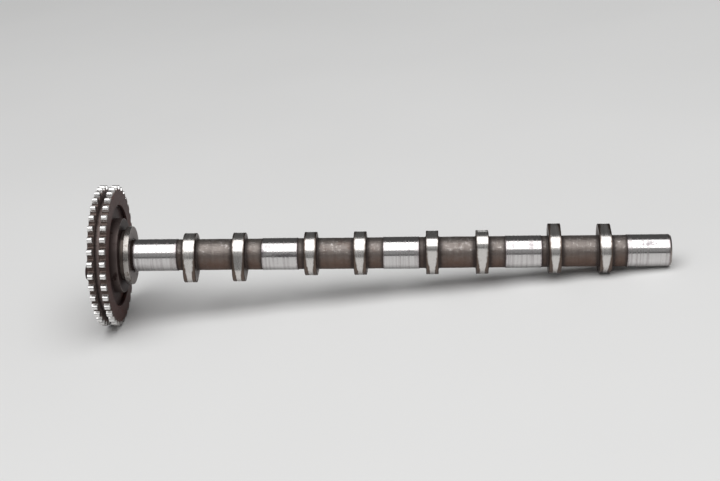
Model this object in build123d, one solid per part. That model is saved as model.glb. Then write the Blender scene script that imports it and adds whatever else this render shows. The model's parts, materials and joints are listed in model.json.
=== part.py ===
from build123d import *
import os
from math import acos, atan, atan2, cos, degrees, hypot, radians, sin

# Camshaft of a four-cylinder, sixteen-valve engine with its duplex chain sprocket, lying at rest.
#
# Every piece is built in the shaft frame: the shaft's axis is X, x = 0 is the thrust face behind the
# collar, and +X runs to the rear end. Angles about the shaft are in degrees from +Y towards +Z.
# Then the whole part is laid down. It stands on two teeth of the rear tooth row and on whatever
# reaches the surface first further back, so its axis slopes down towards the rear end.
# In that final frame Z is up, z = 0 is the surface, and the origin is below the middle of the part.
# All sizes are in millimetres.

# ------------------------------------------------------------------ cylinders, valves and timing
cylinder_pitch = 97.0
first_cylinder_x = 66.8
valve_spacing = 39.6
firing_order = (1, 3, 4, 2)
first_nose_angle = 230.5
valve_phase = 7.5

# ------------------------------------------------------------------ cast shaft and its lobes
shaft_diameter = 25.0
lobe_width = 9.9
lobe_base_radius = 17.45
lobe_nose_radius = 11.1
lobe_nose_offset = 11.65
lobe_edge_break = 0.4
lobe_root_flare = 1.0

# ------------------------------------------------------------------ ground journals
journal_diameter = 25.8
journal_width = 29.0
journal_offset = 4.0
front_journal_width = 35.0
rear_journal_x = 394.5
rear_journal_width = 35.0
rear_chamfer_length = 1.5
rear_chamfer_depth = 1.0

# ------------------------------------------------------------------ thrust collar and front flange
collar_diameter = 47.0
collar_width = 4.5
collar_edge_break = 0.4
undercut_width = 1.7
undercut_height = 1.2
undercut_depth = 0.5
flange_diameter = 40.0
flange_length = 11.0
flange_edge_break = 0.6
spigot_diameter = 16.0
spigot_set_back = 0.8
spigot_edge_break = 0.6

# ------------------------------------------------------------------ centres that the shaft is turned on
centre_cone_diameter = 7.5
centre_drill_diameter = 2.5
centre_drill_depth = 8.0
centre_cone_angle = 60.0

# ------------------------------------------------------------------ sprocket teeth
tooth_count = 36
chain_pitch = 9.525
bush_diameter = 5.08
row_spacing = 9.75
tooth_width = 4.9
tip_diameter = 113.8
tip_relief = 0.5
tip_relief_height = 3.2
seat_angle_base = 140.0
flank_radius_factor = 0.12
seat_radius_factor = 0.505
cutter_overrun = 1.0

# ------------------------------------------------------------------ sprocket wheel
groove_floor_diameter = 95.0
recess_diameter = 81.6
recess_depth = 3.0
hub_diameter = 60.0
hub_projection = 3.85
hub_edge_break = 0.6
sprocket_standoff = 3.0
front_pocket_diameter = 48.0
front_pocket_depth = 3.0

# ------------------------------------------------------------------ fixings on the front flange
fixing_circle_diameter = 30.0
bolt_count = 3
bolt_diameter = 8.0
bolt_length = 20.0
bolt_hole_diameter = 9.0
bolt_flange_diameter = 14.6
bolt_flange_height = 1.6
bolt_hex_size = 10.0
bolt_head_height = 6.0
bolt_hex_edge_break = 0.6
thread_depth_spare = 0.4
dowel_diameter = 5.0
dowel_length = 10.0
dowel_engagement = 6.0
dowel_edge_break = 0.4

# ------------------------------------------------------------------ trigger pin in the hub
trigger_pin_angle = 220.0
trigger_head_diameter = 14.3
trigger_head_length = 14.0
trigger_head_edge_break = 1.6
trigger_shank_diameter = 8.0
trigger_shank_spare = 0.4

# ------------------------------------------------------------------ clearances
thread_clearance = 0.05
spigot_clearance = 0.02
flange_clearance = 0.3
dowel_slip_clearance = 0.03
press_clearance = 0.01

# ------------------------------------------------------------------ sizes that follow from those above
shaft_radius = shaft_diameter / 2
journal_radius = journal_diameter / 2
cylinder_count = len(firing_order)
firing_step = 360.0 / cylinder_count

collar_front_x = -collar_width
flange_front_x = collar_front_x - flange_length
hub_rear_x = collar_front_x - sprocket_standoff
rear_rim_x = hub_rear_x - hub_projection
rear_row_x = rear_rim_x - tooth_width / 2
front_row_x = rear_row_x - row_spacing
front_rim_x = front_row_x - tooth_width / 2
bolt_seat_x = front_rim_x + front_pocket_depth
spigot_front_x = bolt_seat_x + spigot_set_back
rear_end_x = rear_journal_x + rear_journal_width

tooth_angle = 360.0 / tooth_count
pitch_radius = chain_pitch / (2 * sin(radians(tooth_angle / 2)))
seat_radius = seat_radius_factor * bush_diameter
flank_radius = flank_radius_factor * bush_diameter * (tooth_count + 2)
tip_radius = tip_diameter / 2
fixing_radius = fixing_circle_diameter / 2

bolt_angles = [trigger_pin_angle + 60 + 360.0 * i / bolt_count for i in range(bolt_count)]
dowel_angle = trigger_pin_angle + 120

straight_down = 270.0


def polar(radius, angle):
    """Point in the YZ section at a radius and an angle from +Y towards +Z."""
    return radius * cos(radians(angle)), radius * sin(radians(angle))


def turned(points):
    """Solid of revolution about the shaft's axis, from a closed outline of (x, radius) points."""
    section = make_face(Polyline(*points, close=True))
    return revolve(section, Axis.X)


def bar(x_start, x_end, diameter, angle=0.0, radius=0.0):
    """Round bar along X between two planes, at a radius and angle from the shaft's axis."""
    disc = Plane.YZ.offset(x_start) * Pos(*polar(radius, angle)) * Circle(diameter / 2)
    return extrude(disc, x_end - x_start, dir=(1, 0, 0))


# ------------------------------------------------------------------ camshaft casting


def lobe_places():
    """The (x, nose angle) of every lobe, from the front to the rear."""
    places = []
    for cylinder in range(1, cylinder_count + 1):
        cylinder_x = first_cylinder_x + (cylinder - 1) * cylinder_pitch
        cylinder_angle = first_nose_angle - firing_step * firing_order.index(cylinder)
        places.append((cylinder_x - valve_spacing / 2, cylinder_angle))
        places.append((cylinder_x + valve_spacing / 2, cylinder_angle - valve_phase))
    return places


def journal_spans():
    """The (start, end) of every journal between two cylinders, and of the front and rear ones."""
    spans = [(undercut_width, undercut_width + front_journal_width)]
    for gap in range(cylinder_count - 1):
        centre = first_cylinder_x + (gap + 0.5) * cylinder_pitch + journal_offset
        spans.append((centre - journal_width / 2, centre + journal_width / 2))
    spans.append((rear_journal_x, rear_end_x))
    return spans


def lobe_outline():
    """Lobe section with its nose along local X: base circle, straight flanks and nose circle."""
    flank_angle = degrees(acos((lobe_base_radius - lobe_nose_radius) / lobe_nose_offset))
    base_side = Vector(*polar(lobe_base_radius, flank_angle))
    nose_side = Vector(lobe_nose_offset, 0) + Vector(*polar(lobe_nose_radius, flank_angle))
    base_mirror = Vector(base_side.X, -base_side.Y)
    nose_mirror = Vector(nose_side.X, -nose_side.Y)
    outline = Curve() + [
        ThreePointArc(base_side, (-lobe_base_radius, 0), base_mirror),
        Line(base_mirror, nose_mirror),
        ThreePointArc(nose_mirror, (lobe_nose_offset + lobe_nose_radius, 0), nose_side),
        Line(nose_side, base_side),
    ]
    return make_face(outline)


def lobe(x, nose_angle):
    """One lobe, centred on x, with its edges broken, on a root that flares out of the shaft."""
    start, end = x - lobe_width / 2, x + lobe_width / 2
    outline = Plane.YZ.offset(start) * Rot(0, 0, nose_angle) * lobe_outline()
    body = extrude(outline, lobe_width, dir=(1, 0, 0))
    body = chamfer(body.faces().filter_by(Plane.YZ).edges(), lobe_edge_break)
    return body + turned([
        (start - lobe_root_flare, 0),
        (start - lobe_root_flare, shaft_radius),
        (start, shaft_radius + lobe_root_flare),
        (end, shaft_radius + lobe_root_flare),
        (end + lobe_root_flare, shaft_radius),
        (end + lobe_root_flare, 0),
    ])


def shaft_core():
    """Everything on the shaft that is round about its axis, as one turned outline."""
    step = journal_radius - shaft_radius
    spigot_radius = spigot_diameter / 2
    points = [
        (spigot_front_x, 0),
        (spigot_front_x, spigot_radius - spigot_edge_break),
        (spigot_front_x + spigot_edge_break, spigot_radius),
        (flange_front_x, spigot_radius),
        (flange_front_x, flange_diameter / 2 - flange_edge_break),
        (flange_front_x + flange_edge_break, flange_diameter / 2),
        (collar_front_x, flange_diameter / 2),
        (collar_front_x, collar_diameter / 2 - collar_edge_break),
        (collar_front_x + collar_edge_break, collar_diameter / 2),
        (-collar_edge_break, collar_diameter / 2),
        (0, collar_diameter / 2 - collar_edge_break),
        (0, journal_radius + undercut_height),
        (-undercut_depth, journal_radius + undercut_height - undercut_depth),
        (-undercut_depth, journal_radius - undercut_depth),
        (undercut_width - undercut_depth, journal_radius - undercut_depth),
        (undercut_width, journal_radius),
    ]
    spans = journal_spans()
    for (_, end), (next_start, _) in zip(spans, spans[1:]):
        points += [
            (end - step, journal_radius),
            (end, shaft_radius),
            (next_start, shaft_radius),
            (next_start + step, journal_radius),
        ]
    points += [
        (rear_end_x - rear_chamfer_length, journal_radius),
        (rear_end_x, journal_radius - rear_chamfer_depth),
        (rear_end_x, 0),
    ]
    return turned(points)


def centre_hole(face_x, inward):
    """Lathe centre in an end face: a drilled hole that opens in a cone."""
    cone_radius = centre_cone_diameter / 2
    drill_radius = centre_drill_diameter / 2
    cone_depth = (cone_radius - drill_radius) / sin(radians(centre_cone_angle / 2))
    cone_depth *= cos(radians(centre_cone_angle / 2))
    return turned([
        (face_x, 0),
        (face_x, cone_radius),
        (face_x + inward * cone_depth, drill_radius),
        (face_x + inward * centre_drill_depth, drill_radius),
        (face_x + inward * (centre_drill_depth + drill_radius), 0),
    ])


def camshaft():
    """The casting: spigot, flange, collar, journals and lobes, with the holes for its fixings."""
    body = shaft_core()
    for x, nose_angle in lobe_places():
        body += lobe(x, nose_angle)
    thread_end_x = bolt_seat_x + bolt_length + thread_depth_spare
    for angle in bolt_angles:
        body -= bar(flange_front_x, thread_end_x, bolt_diameter, angle, fixing_radius)
    dowel_bore = dowel_diameter + 2 * press_clearance
    dowel_end_x = flange_front_x + dowel_engagement + dowel_edge_break
    body -= bar(flange_front_x, dowel_end_x, dowel_bore, dowel_angle, fixing_radius)
    body -= centre_hole(spigot_front_x, 1)
    body -= centre_hole(rear_end_x, -1)
    return body


# ------------------------------------------------------------------ timing sprocket


def flank_point(radius):
    """Point on a tooth flank at a radius, with the bush seat's middle on local X.

    The flank is a convex arc that leaves the bush seat at the end of its seating angle.
    """
    seat_half_angle = (seat_angle_base - 90.0 / tooth_count) / 2
    away = 180.0 - seat_half_angle
    centre_x, centre_y = polar(seat_radius + flank_radius, away)
    centre_x += pitch_radius
    reach = hypot(centre_x, centre_y)
    opening = acos((reach**2 + radius**2 - flank_radius**2) / (2 * reach * radius))
    return polar(radius, degrees(atan2(centre_y, centre_x) - opening))


def gap_half_angle():
    """Half of the angle that one gap between two teeth takes at the tip circle."""
    tip_x, tip_y = flank_point(tip_radius)
    return degrees(atan2(tip_y, tip_x))


def tooth_gap():
    """Cutter form of one gap between teeth: bush seat and two flanks, open at the tip circle."""
    seat_half_angle = (seat_angle_base - 90.0 / tooth_count) / 2
    seat_end = Vector(pitch_radius, 0) + Vector(*polar(seat_radius, 180.0 - seat_half_angle))
    middle = Vector(*flank_point((seat_end.length + tip_radius) / 2))
    outer = Vector(*flank_point(tip_radius + cutter_overrun))

    def mirrored(point):
        return Vector(point.X, -point.Y)

    outline = Curve() + [
        ThreePointArc(mirrored(seat_end), (pitch_radius - seat_radius, 0), seat_end),
        ThreePointArc(seat_end, middle, outer),
        Line(outer, mirrored(outer)),
        ThreePointArc(mirrored(outer), mirrored(middle), mirrored(seat_end)),
    ]
    return make_face(outline)


def row_profile(row_x):
    """The (x, radius) points of one tooth row's rim, with relieved tips, from front to rear."""
    half_width = tooth_width / 2
    shoulder = tip_radius - tip_relief_height
    return [
        (row_x - half_width, shoulder),
        (row_x - half_width + tip_relief, tip_radius),
        (row_x + half_width - tip_relief, tip_radius),
        (row_x + half_width, shoulder),
    ]


def sprocket_blank():
    """The wheel as turned, before its teeth are cut: two rims, a groove, a web and a hub."""
    recess_radius = recess_diameter / 2
    hub_radius = hub_diameter / 2
    groove_radius = groove_floor_diameter / 2
    bore_radius = spigot_diameter / 2 + spigot_clearance
    counterbore_radius = flange_diameter / 2 + flange_clearance
    half_width = tooth_width / 2
    points = row_profile(front_row_x)
    points += [(front_row_x + half_width, groove_radius), (rear_row_x - half_width, groove_radius)]
    points += row_profile(rear_row_x)
    points += [
        (rear_rim_x, recess_radius),
        (rear_rim_x - recess_depth, recess_radius),
        (rear_rim_x - recess_depth, hub_radius),
        (hub_rear_x - hub_edge_break, hub_radius),
        (hub_rear_x, hub_radius - hub_edge_break),
        (hub_rear_x, counterbore_radius),
        (flange_front_x, counterbore_radius),
        (flange_front_x, bore_radius),
        (bolt_seat_x, bore_radius),
        (bolt_seat_x, front_pocket_diameter / 2),
        (front_rim_x, front_pocket_diameter / 2),
        (front_rim_x, hub_radius),
        (front_rim_x + recess_depth, hub_radius),
        (front_rim_x + recess_depth, recess_radius),
        (front_rim_x, recess_radius),
    ]
    return turned(points)


def timing_sprocket():
    """The duplex wheel with its teeth cut through both rows and the holes for its fixings."""
    wheel = sprocket_blank()
    cut_length = row_spacing + tooth_width
    cutter = extrude(Plane.YZ.offset(front_rim_x) * tooth_gap(), cut_length, dir=(1, 0, 0))
    wheel -= [Rot(straight_down + i * tooth_angle, 0, 0) * cutter for i in range(tooth_count)]
    for angle in bolt_angles:
        wheel -= bar(bolt_seat_x, flange_front_x, bolt_hole_diameter, angle, fixing_radius)
    dowel_hole = dowel_diameter + 2 * dowel_slip_clearance
    wheel -= bar(bolt_seat_x, flange_front_x, dowel_hole, dowel_angle, fixing_radius)
    pin_hole = trigger_shank_diameter + 2 * press_clearance
    wheel -= bar(bolt_seat_x, flange_front_x, pin_hole, trigger_pin_angle, fixing_radius)
    return wheel


# ------------------------------------------------------------------ fixings and trigger pin


def flange_bolt(angle):
    """One bolt: plain thread envelope, round flange and hexagon head."""
    head_end_x = bolt_seat_x - bolt_head_height
    flange_end_x = bolt_seat_x - bolt_flange_height
    thread_diameter = bolt_diameter - 2 * thread_clearance
    hexagon = RegularPolygon(bolt_hex_size / 2, 6, major_radius=False)
    place = Plane.YZ.offset(head_end_x) * Pos(*polar(fixing_radius, angle)) * Rot(0, 0, angle)
    head = extrude(place * hexagon, bolt_head_height, dir=(1, 0, 0))
    head = chamfer(head.faces().sort_by(Axis.X)[0].edges(), bolt_hex_edge_break)
    head += bar(flange_end_x, bolt_seat_x, bolt_flange_diameter, angle, fixing_radius)
    return head + bar(bolt_seat_x, bolt_seat_x + bolt_length, thread_diameter, angle, fixing_radius)


def locating_dowel():
    """The pin pressed into the flange that the sprocket's hole slips over."""
    rear_x = flange_front_x + dowel_engagement
    pin = bar(rear_x - dowel_length, rear_x, dowel_diameter, dowel_angle, fixing_radius)
    return chamfer(pin.edges().filter_by(GeomType.CIRCLE), dowel_edge_break)


def trigger_pin():
    """Round stud whose shank is pressed into the hub and whose head stands out in front."""
    head_end_x = bolt_seat_x - trigger_head_length
    head = bar(head_end_x, bolt_seat_x, trigger_head_diameter, trigger_pin_angle, fixing_radius)
    front_rim = head.edges().filter_by(GeomType.CIRCLE).sort_by(Axis.X)[0]
    head = chamfer(front_rim, trigger_head_edge_break)
    shank_end_x = flange_front_x - trigger_shank_spare
    shank_diameter = trigger_shank_diameter
    return head + bar(bolt_seat_x, shank_end_x, shank_diameter, trigger_pin_angle, fixing_radius)


# ------------------------------------------------------------------ laying the part down


def lobe_reach(nose_angle):
    """How far a lobe reaches straight down from the shaft's axis."""
    nose_reach = lobe_nose_radius + lobe_nose_offset * cos(radians(nose_angle - straight_down))
    return max(lobe_base_radius, nose_reach)


def rest_tilt():
    """Slope of the axis at rest, in degrees: the rear end sinks until something meets the surface."""
    front_x = rear_row_x + tooth_width / 2 - tip_relief
    front_reach = tip_radius * cos(radians(gap_half_angle()))
    supports = [(rear_end_x - rear_chamfer_length, journal_radius)]
    for x, nose_angle in lobe_places():
        supports.append((x + lobe_width / 2 - lobe_edge_break, lobe_reach(nose_angle)))
    slopes = [(front_reach - reach) / (x - front_x) for x, reach in supports]
    return degrees(atan(min(slopes)))


def main():
    """Build every piece, lay the part down and write one STEP file for each node."""
    bolts = Compound([flange_bolt(angle).solid() for angle in bolt_angles])
    nodes = {
        "camshaft": camshaft(),
        "timing_sprocket": timing_sprocket(),
        "sprocket_bolts": bolts,
        "locating_dowel": locating_dowel(),
        "trigger_pin": trigger_pin(),
    }
    tilt = Rot(0, rest_tilt(), 0)
    solids = [solid for node in nodes.values() for solid in node.solids()]
    box = (tilt * Compound(solids)).bounding_box()
    place = Pos(-(box.min.X + box.max.X) / 2, 0, -box.min.Z) * tilt
    os.makedirs("parts", exist_ok=True)
    for name, node in nodes.items():
        export_step(place * node, f"parts/{name}.step")
    return place


main()
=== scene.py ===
"""Dressed model of a camshaft for a four-cylinder engine, with its duplex chain sprocket.

The casting is one skin lofted through rings about the shaft's own axis: spigot, flange, collar,
journals, lobes and the rough skin between them. The sprocket is lofted in the same way, so that its
teeth have rounded, worn edges. Bolts, dowel and trigger pin keep the frame's own solids.
"""

import json
import logging
import math
from dataclasses import dataclass
from enum import Enum
from functools import cached_property, reduce
from typing import Any, Optional

import bpy
import numpy as np
from mathutils import Matrix, Vector, noise

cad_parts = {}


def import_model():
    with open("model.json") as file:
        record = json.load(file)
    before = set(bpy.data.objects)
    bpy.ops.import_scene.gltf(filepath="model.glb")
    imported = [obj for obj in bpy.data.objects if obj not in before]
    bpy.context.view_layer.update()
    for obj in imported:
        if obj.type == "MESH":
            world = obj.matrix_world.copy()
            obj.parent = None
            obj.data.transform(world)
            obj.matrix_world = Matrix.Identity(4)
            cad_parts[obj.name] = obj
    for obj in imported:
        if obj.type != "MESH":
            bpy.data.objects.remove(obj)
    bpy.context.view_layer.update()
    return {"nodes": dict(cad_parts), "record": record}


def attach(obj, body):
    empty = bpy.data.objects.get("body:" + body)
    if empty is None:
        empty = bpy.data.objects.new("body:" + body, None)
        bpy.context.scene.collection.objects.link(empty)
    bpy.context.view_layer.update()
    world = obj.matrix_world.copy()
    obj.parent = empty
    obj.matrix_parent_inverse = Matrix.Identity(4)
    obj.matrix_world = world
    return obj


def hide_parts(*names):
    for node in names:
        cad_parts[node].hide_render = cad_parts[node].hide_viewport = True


LOG = logging.getLogger("camshaft")
MM = 0.001
FULL_TURN = 2.0 * math.pi
VALUE, VECTOR = "NodeSocketFloat", "NodeSocketVector"
Colour = tuple[float, float, float, float]
Range = tuple[float, float]
Material = bpy.types.Material
Node = bpy.types.Node
Socket = bpy.types.NodeSocket
Tree = bpy.types.NodeTree


# --- the shaft's own frame


@dataclass(frozen=True)
class ShaftFrame:
    """The frame that the shaft is described in: x = 0 at the thrust face, +X to the rear end.

    Angles about the shaft are measured from +Y towards the shaft's own up direction.
    """

    origin: Vector
    along: Vector

    FRONT_JOURNAL_X = 19.2

    @classmethod
    def from_record(cls, record: dict[str, Any]) -> "ShaftFrame":
        """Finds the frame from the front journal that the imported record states.

        Args:
            record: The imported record.

        Returns:
            The frame, in metres.
        """
        journal = next(mount for mount in record["mounts"] if mount["name"] == "front_journal")
        along = Vector(journal["axis"]).normalized()
        return cls(Vector(journal["pos_m"]) - along * cls.FRONT_JOURNAL_X * MM, along)

    @property
    def across(self) -> Vector:
        """The horizontal direction across the shaft."""
        return Vector((0.0, 1.0, 0.0))

    @property
    def up(self) -> Vector:
        """The direction square to the shaft that points most nearly up."""
        return self.along.cross(self.across)

    def to_row(self, points: np.ndarray) -> np.ndarray:
        """Moves points in shaft coordinates, in mm, to the row's frame, in metres."""
        axes = np.array([self.along, self.across, self.up])
        return points @ axes * MM + np.array(self.origin)


# --- skins lofted from rings


class Loft:
    """Closed skin through rings of points about the shaft's axis.

    Every ring has the same number of points. A band between two rings belongs to one zone, which
    is also its material slot. Rings may carry named values that the finishes read.
    """

    SHARP_DEG = 28.0

    def __init__(self, angles: np.ndarray) -> None:
        """Starts an empty skin.

        Args:
            angles: The directions of the points of its rings, in radians.
        """
        self.angles = angles
        self.rings: list[np.ndarray] = []
        self.zones: list[int] = []
        self.values: list[dict[str, Any]] = []

    def ring(self, x: float, radius: Any, zone: Enum, angles: Optional[np.ndarray] = None,
             **values: Any) -> None:
        """Adds one ring.

        Args:
            x: Place along the shaft, in millimetres.
            radius: One radius, or one for each direction.
            zone: The zone of the band between the ring before and this one.
            angles: Directions of this ring's own points, if they aren't the skin's.
            **values: Named values of the ring, each one number or one for each direction.
        """
        turn = self.angles if angles is None else angles
        radii = np.broadcast_to(np.asarray(radius, float), len(turn))
        place = np.full(len(turn), float(x))
        self.rings.append(np.stack([place, radii * np.cos(turn), radii * np.sin(turn)], axis=-1))
        self.zones.append(zone.value)
        self.values.append(values)

    def run(self, zone: Enum, *steps: tuple[float, Any, float]) -> None:
        """Adds rings of one zone, each by its place, its radius and how much grime and painted shade it gets.
        """
        for x, radius, grime in steps:
            self.ring(x, radius, zone, grime=grime)

    def faces(self, caps: bool) -> tuple[list[list[int]], list[int]]:
        """The faces between the rings, with their outer side out.

        Args:
            caps: Closes both ends with a fan to a point on the axis.

        Returns:
            The corners of each face and the zone of each face.
        """
        count, rings = len(self.angles), len(self.rings)
        bands = rings - 1 if caps else rings
        index = np.arange(rings * count).reshape(rings, count)
        after = np.roll(index, -1, axis=1)
        corners = [index, after, np.roll(after, -1, axis=0), np.roll(index, -1, axis=0)]
        faces = np.stack(corners, axis=-1)[:bands].reshape(-1, 4).tolist()
        zones = np.roll(self.zones, -1)[:bands].tolist()
        if caps:
            faces.extend([rings * count, b, a] for a, b in zip(index[0].tolist(), after[0].tolist()))
            faces.extend([rings * count + 1, a, b] for a, b in zip(index[-1].tolist(), after[-1].tolist()))
            zones += [self.zones[0], self.zones[-1]]
        return faces, np.repeat(zones, count).tolist()

    def mesh(self, name: str, frame: ShaftFrame, caps: bool) -> bpy.types.Mesh:
        """Makes the mesh in the row's frame.

        Args:
            name: The mesh's name.
            frame: The shaft's frame.
            caps: Closes both ends. Otherwise the last ring joins the first.

        Returns:
            The mesh, with the rings' values as attributes of its points.
        """
        points = np.concatenate(self.rings)
        if caps:
            ends = [[ring[0][0], 0.0, 0.0] for ring in (self.rings[0], self.rings[-1])]
            points = np.concatenate([points, ends])
        faces, zones = self.faces(caps)
        mesh = bpy.data.meshes.new(name)
        mesh.from_pydata(frame.to_row(points).tolist(), [], faces)
        mesh.polygons.foreach_set("material_index", np.array(zones, np.int32))
        mesh.polygons.foreach_set("use_smooth", np.ones(len(faces), bool))
        count = len(self.angles)
        for label in sorted({key for values in self.values for key in values}):
            rows = [np.broadcast_to(np.asarray(v.get(label, 0.0), float), count) for v in self.values]
            flat = np.concatenate(rows + ([[rows[0][0], rows[-1][0]]] if caps else []))
            mesh.attributes.new(label, "FLOAT", "POINT").data.foreach_set("value", flat.astype(np.float32))
        mesh.validate()
        mesh.update()
        mesh.set_sharp_from_angle(angle=math.radians(self.SHARP_DEG))
        return mesh


def eased(ease: float, steps: int) -> list[tuple[float, float]]:
    """Points of a rounded edge, each by how far it is behind the side face and below the land."""
    turns = [math.radians(90.0 * step / steps) for step in range(steps + 1)]
    return [(ease * (1.0 - math.cos(turn)), ease * (1.0 - math.sin(turn))) for turn in turns]


def place_piece(mesh: bpy.types.Mesh, finishes: list[Material], node: str) -> None:
    """Puts a lofted skin in the scene in place of a node of the frame.

    Args:
        mesh: Its mesh, which gives the piece its name.
        finishes: The material of each zone, in the order of the zones.
        node: The node that it stands for.
    """
    for material in finishes:
        mesh.materials.append(material)
    piece = bpy.data.objects.new(mesh.name, mesh)
    bpy.context.scene.collection.objects.link(piece)
    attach(piece, "root")
    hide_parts(node)
    LOG.info("%s: %d faces", piece.name, len(mesh.polygons))


# --- wiring of node trees


class Wiring:
    """Short ways to add nodes to one tree and to join them. A value is a socket or a constant."""

    def __init__(self, tree: Tree) -> None:
        """Works on the tree of a material, of a node group or of the world."""
        self.tree = tree

    def feed(self, socket: Socket, value: Any) -> None:
        """Joins an input to another node's output, or gives it a constant.

        Args:
            socket: The input.
            value: The output or the constant.
        """
        if isinstance(value, Socket):
            self.tree.links.new(value, socket)
        else:
            socket.default_value = value

    def add(self, kind: str, *values: Any, named: Optional[dict[str, Any]] = None, **settings: Any) -> Node:
        """Adds a node.

        Args:
            kind: The node's type.
            *values: What its first inputs get, in their order.
            named: What other inputs get, by name.
            **settings: Its own properties.

        Returns:
            The node.
        """
        node = self.tree.nodes.new(kind)
        for key, setting in settings.items():
            setattr(node, key, setting)
        for socket, value in zip(node.inputs, values):
            self.feed(socket, value)
        for name, value in (named or {}).items():
            self.feed(node.inputs[name], value)
        return node

    def number(self, operation: str, *values: Any, clamp: bool = False) -> Socket:
        """The result of one Math node."""
        return self.add("ShaderNodeMath", *values, operation=operation, use_clamp=clamp).outputs[0]

    def times(self, first: Any, second: Any) -> Socket:
        """The product of two values."""
        return self.number("MULTIPLY", first, second)

    def scaled(self, value: Any, factor: Any, offset: Any) -> Socket:
        """A value times a factor, plus an offset."""
        return self.number("MULTIPLY_ADD", value, factor, offset)

    def most(self, *values: Any) -> Socket:
        """The largest of some values."""
        return reduce(lambda first, other: self.number("MAXIMUM", first, other), values)

    def vector(self, operation: str, *values: Any, result: str = "Vector") -> Socket:
        """The result of one Vector Math node."""
        return self.add("ShaderNodeVectorMath", *values, operation=operation).outputs[result]

    def parts(self, vector: Any) -> Any:
        """The three parts of a vector."""
        return self.add("ShaderNodeSeparateXYZ", vector).outputs

    def joined(self, *parts: Any) -> Socket:
        """The vector with some parts."""
        return self.add("ShaderNodeCombineXYZ", *parts).outputs[0]

    def noise(self, place: Any, scale: Any, detail: float, rough: float = 0.55) -> Socket:
        """A noise around 0.5, by its features per unit of the place, its octaves and their strength."""
        named = {"Vector": place, "Scale": scale, "Detail": detail, "Roughness": rough}
        return self.add("ShaderNodeTexNoise", named=named).outputs[0]

    def span(self, value: Any, low: Any, high: Any, to_low: float = 0.0, to_high: float = 1.0) -> Socket:
        """Maps a value smoothly from one range to another and keeps it there."""
        return self.add("ShaderNodeMapRange", value, low, high, to_low, to_high,
                        interpolation_type="SMOOTHSTEP", clamp=True).outputs[0]

    def blend(self, share: Any, first: Any, second: Any) -> Socket:
        """Mixes two colours by the share of the second."""
        named = {"Factor": share, "A": first, "B": second}
        return self.add("ShaderNodeMix", data_type="RGBA", clamp_factor=True, named=named).outputs["Result"]

    def attribute(self, name: str) -> Socket:
        """A value that the mesh carries on its points."""
        return self.add("ShaderNodeAttribute", attribute_name=name).outputs["Fac"]

    def group(self, tree: Tree, **values: Any) -> Any:
        """The outputs of a node group, placed with its inputs by name."""
        return self.add("ShaderNodeGroup", node_tree=tree, named=values).outputs


class Effect(Wiring):
    """A node group with named inputs and outputs, built once and placed in each material.

    Its title, the kinds of its sockets by name and its constants are the class's own.
    """

    title = ""
    inputs: dict[str, str] = {}
    outputs: dict[str, str] = {}

    def __init__(self) -> None:
        """Builds the group."""
        super().__init__(bpy.data.node_groups.new(self.title, "ShaderNodeTree"))
        for way, kinds in (("INPUT", self.inputs), ("OUTPUT", self.outputs)):
            for name, kind in kinds.items():
                self.tree.interface.new_socket(name, in_out=way, socket_type=kind)
        self.given = self.add("NodeGroupInput").outputs
        self.add("NodeGroupOutput", named=self.wire())

    def wire(self) -> dict[str, Socket]:
        """Adds the group's nodes, and says what each output gets."""
        raise NotImplementedError


class ShaftSpace(Effect):
    """Position in the shaft's own frame, in millimetres, and the distance from its axis."""

    title = "shaft_space"
    outputs = {"Position": VECTOR, "Radius": VALUE}

    def __init__(self, frame: ShaftFrame) -> None:
        """Builds the group for one shaft."""
        self.frame = frame
        super().__init__()

    def wire(self) -> dict[str, Socket]:
        """Measures the point along, across and up.

        Returns:
            What each output gets, by name.
        """
        frame = self.frame
        local = self.vector("SUBTRACT", self.add("ShaderNodeTexCoord").outputs["Object"], frame.origin)
        position = self.joined(*(self.vector("DOT_PRODUCT", local, axis / MM, result="Value")
                                 for axis in (frame.along, frame.across, frame.up)))
        flat = self.vector("MULTIPLY", position, (0.0, 1.0, 1.0))
        return {"Position": position, "Radius": self.vector("LENGTH", flat, result="Value")}


class TurningMarks(Effect):
    """Fine marks that run round the shaft, as a grinding wheel or a bearing leaves them."""

    title = "turning_marks"
    inputs = {"Position": VECTOR, "Fineness": VALUE}
    outputs = {"Height": VALUE, "Streaks": VALUE}
    round_scale = 0.12
    streak_scale = 0.16
    streak_range = (0.42, 0.68)

    def wire(self) -> dict[str, Socket]:
        """Reads a noise that is long round the shaft and short along it.

        Returns:
            What each output gets, by name.
        """
        along, across, up = self.parts(self.given["Position"])
        place = self.joined(self.times(along, self.given["Fineness"]),
                            *(self.times(part, self.round_scale) for part in (across, up)))
        broad = self.noise(place, self.streak_scale, detail=2.0, rough=0.5)
        fine = self.noise(place, scale=1.0, detail=3.0, rough=0.6)
        return {"Height": fine, "Streaks": self.span(broad, *self.streak_range)}


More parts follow.
